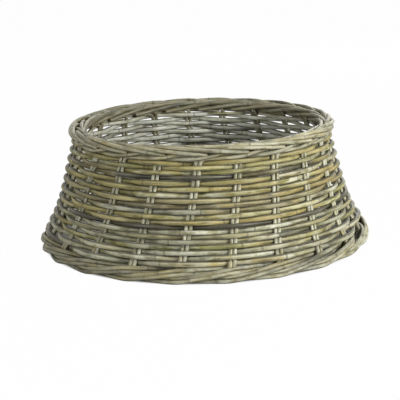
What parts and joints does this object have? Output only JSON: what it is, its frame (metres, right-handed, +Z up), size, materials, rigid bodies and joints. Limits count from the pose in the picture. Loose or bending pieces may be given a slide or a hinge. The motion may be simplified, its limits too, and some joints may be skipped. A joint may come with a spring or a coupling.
{
  "type": "christmas tree collar",
  "caption": "Open, flared ring of woven rattan that stands on the floor round a christmas tree's stand and hides it.",
  "frame": {"origin": "centre of the ring, on the floor that the foot border stands on", "axes": "+Z up along the ring's axis, -Y towards the pictured front, +X to the right seen from the front"},
  "size_m": [0.6011, 0.6008, 0.22],
  "materials": {
    "stake_rattan": "round rattan rod, pale grey-beige antique wash, soft semi-matt sheen, darker growth rings",
    "straw_rattan": "round rattan rod, straw-yellow under a thin grey wash, semi-gloss skin",
    "olive_rattan": "round rattan rod, olive-brown under a grey wash, semi-gloss skin",
    "grey_rattan": "round rattan rod, weathered grey-green wash, semi-matt",
    "dark_rattan": "round rattan rod, charcoal-brown stain, semi-gloss"
  },
  "bodies": {
    "root": {"stake_01_left": "stake_rattan", "stake_01_right": "stake_rattan", "stake_02_left": "stake_rattan", "stake_02_right": "stake_rattan", "stake_03_left": "stake_rattan", "stake_03_right": "stake_rattan", "stake_04_left": "stake_rattan", "stake_04_right": "stake_rattan", "stake_05_left": "stake_rattan", "stake_05_right": "stake_rattan", "stake_06_left": "stake_rattan", "stake_06_right": "stake_rattan", "stake_07_left": "stake_rattan", "stake_07_right": "stake_rattan", "stake_08_left": "stake_rattan", "stake_08_right": "stake_rattan", "stake_09_left": "stake_rattan", "stake_09_right": "stake_rattan", "stake_10_left": "stake_rattan", "stake_10_right": "stake_rattan", "stake_11_left": "stake_rattan", "stake_11_right": "stake_rattan", "stake_12_left": "stake_rattan", "stake_12_right": "stake_rattan", "stake_13_left": "stake_rattan", "stake_13_right": "stake_rattan", "stake_14_left": "stake_rattan", "stake_14_right": "stake_rattan", "stake_15_left": "stake_rattan", "stake_15_right": "stake_rattan", "stake_16_left": "stake_rattan", "stake_16_right": "stake_rattan", "stake_17_left": "stake_rattan", "stake_17_right": "stake_rattan", "stake_18_left": "stake_rattan", "stake_18_right": "stake_rattan", "stake_19_left": "stake_rattan", "stake_19_right": "stake_rattan", "stake_20_left": "stake_rattan", "stake_20_right": "stake_rattan", "stake_21_left": "stake_rattan", "stake_21_right": "stake_rattan", "weaver_01": "grey_rattan", "weaver_02": "grey_rattan", "weaver_03": "olive_rattan", "weaver_04": "grey_rattan", "weaver_05": "grey_rattan", "weaver_06": "dark_rattan", "weaver_07": "straw_rattan", "weaver_08": "grey_rattan", "weaver_09": "dark_rattan", "weaver_10": "olive_rattan", "weaver_11": "straw_rattan", "weaver_12": "dark_rattan", "weaver_13": "olive_rattan", "weaver_14": "straw_rattan"}
  },
  "joints": []
}
